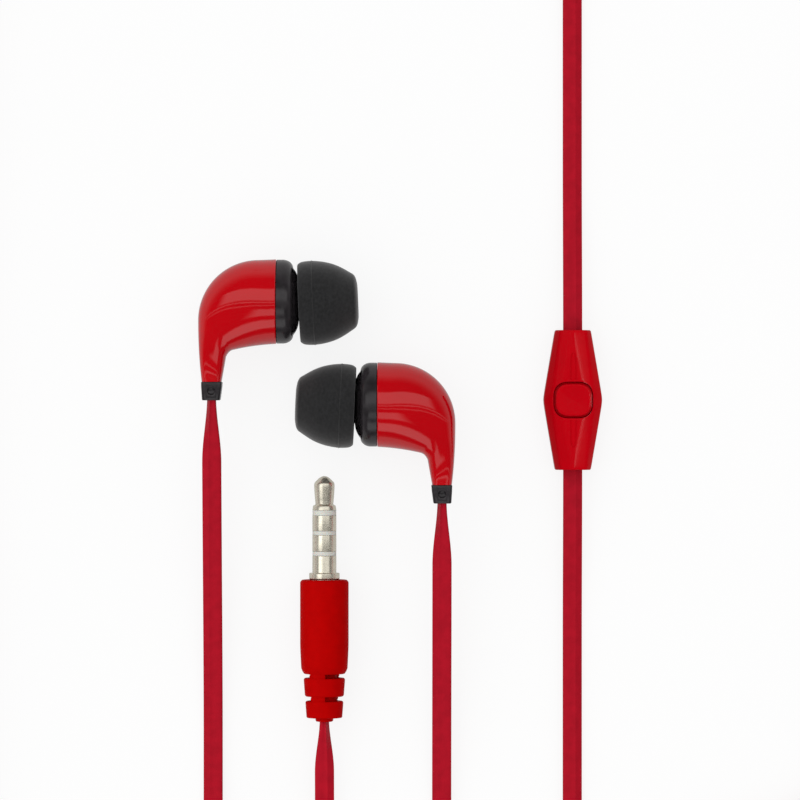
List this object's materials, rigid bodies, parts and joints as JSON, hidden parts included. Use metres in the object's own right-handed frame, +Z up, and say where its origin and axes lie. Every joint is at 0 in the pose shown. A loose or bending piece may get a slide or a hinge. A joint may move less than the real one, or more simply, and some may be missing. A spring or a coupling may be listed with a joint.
{
  "type": "wired earphones",
  "caption": "Wired in-ear earphones with a flat red cable, soft ear tips, an in-line remote with microphone, a splitter and a 3.5 mm plug.",
  "frame": {"origin": "centre of the remote's flat underside, on the table", "axes": "+Y along the remote and its strand of cable, +Z up from the table, +X to the right"},
  "size_m": [0.1321, 0.2349, 0.0125],
  "materials": {
    "gloss_red": "high-gloss moulded plastic",
    "satin_red": "satin moulded plastic",
    "cable_red": "satin elastomer jacket",
    "gloss_black": "glossy",
    "silicone": "matte silicone",
    "nickel": "warm nickel plate",
    "steel": "plain",
    "copper_coil": "enamelled copper wire",
    "insulator_white": "plain",
    "film": "thin polymer film",
    "board_green": "solder mask",
    "soft_black": "soft foam rubber"
  },
  "bodies": {
    "root": {"left_cable": "cable_red", "right_upper_cable": "cable_red", "right_lower_cable": "cable_red", "main_cable": "cable_red", "remote_front_shell": "gloss_red", "remote_rear_shell": "gloss_red", "remote_circuit_board": "board_green", "remote_switch_body": "steel", "remote_mic_capsule": "steel", "remote_mic_gasket": "soft_black", "splitter_shell": "satin_red", "splitter_crimp": "steel"},
    "left_earbud": {"left_rear_shell": "gloss_red", "left_front_ring": "gloss_black", "left_driver_frame": "steel", "left_driver_magnet": "nickel", "left_driver_plate": "steel", "left_terminal_board": "board_green", "left_cable_collar": "gloss_black", "left_cable_crimp": "steel", "left_nozzle_mesh": "steel", "left_cable_end": "cable_red"},
    "left_tip": {"left_ear_tip": "silicone"},
    "left_cone": {"left_diaphragm": "film", "left_voice_coil": "copper_coil"},
    "right_earbud": {"right_rear_shell": "gloss_red", "right_front_ring": "gloss_black", "right_driver_frame": "steel", "right_driver_magnet": "nickel", "right_driver_plate": "steel", "right_terminal_board": "board_green", "right_cable_collar": "gloss_black", "right_cable_crimp": "steel", "right_nozzle_mesh": "steel", "right_cable_end": "cable_red"},
    "right_tip": {"right_ear_tip": "silicone"},
    "right_cone": {"right_diaphragm": "film", "right_voice_coil": "copper_coil"},
    "button": {"remote_button": "gloss_red", "remote_switch_plunger": "soft_black"},
    "plug": {"plug_tip_contact": "nickel", "plug_insulator_front": "insulator_white", "plug_ring_contact_front": "nickel", "plug_insulator_middle": "insulator_white", "plug_ring_contact_rear": "nickel", "plug_insulator_rear": "insulator_white", "plug_sleeve_contact": "nickel", "plug_inner_mould": "insulator_white", "plug_barrel": "satin_red", "plug_cable_end": "cable_red"}
  },
  "joints": [
    {"name": "left_ear_lift", "type": "hinge", "parent": "root", "child": "left_earbud", "pos_m": [-0.05265, -0.01305, 0.00527], "axis": [1, 0, 0], "range_deg": [0, 75]},
    {"name": "right_ear_lift", "type": "hinge", "parent": "root", "child": "right_earbud", "pos_m": [-0.01915, -0.02802, 0.00527], "axis": [1, 0, 0], "range_deg": [0, 75]},
    {"name": "left_tip_pull", "type": "slide", "parent": "left_earbud", "child": "left_tip", "axis": [0.999, 0.0436, 0], "range_m": [0, 0.006]},
    {"name": "right_tip_pull", "type": "slide", "parent": "right_earbud", "child": "right_tip", "axis": [-0.999, 0.0436, 0], "range_m": [0, 0.006]},
    {"name": "left_cone_stroke", "type": "slide", "parent": "left_earbud", "child": "left_cone", "axis": [1, 0, 0], "range_m": [-0.00015, 0.00015], "stiffness_N_per_m": 400},
    {"name": "right_cone_stroke", "type": "slide", "parent": "right_earbud", "child": "right_cone", "axis": [-1, 0, 0], "range_m": [-0.00015, 0.00015], "stiffness_N_per_m": 400},
    {"name": "button_press", "type": "slide", "parent": "root", "child": "button", "axis": [0, 0, -1], "range_m": [0, 0.00035], "stiffness_N_per_m": 2000},
    {"name": "plug_flex", "type": "hinge", "parent": "root", "child": "plug", "pos_m": [-0.0363, -0.0488, 0.0035], "axis": [0, 0, 1], "range_deg": [-20, 20]}
  ]
}
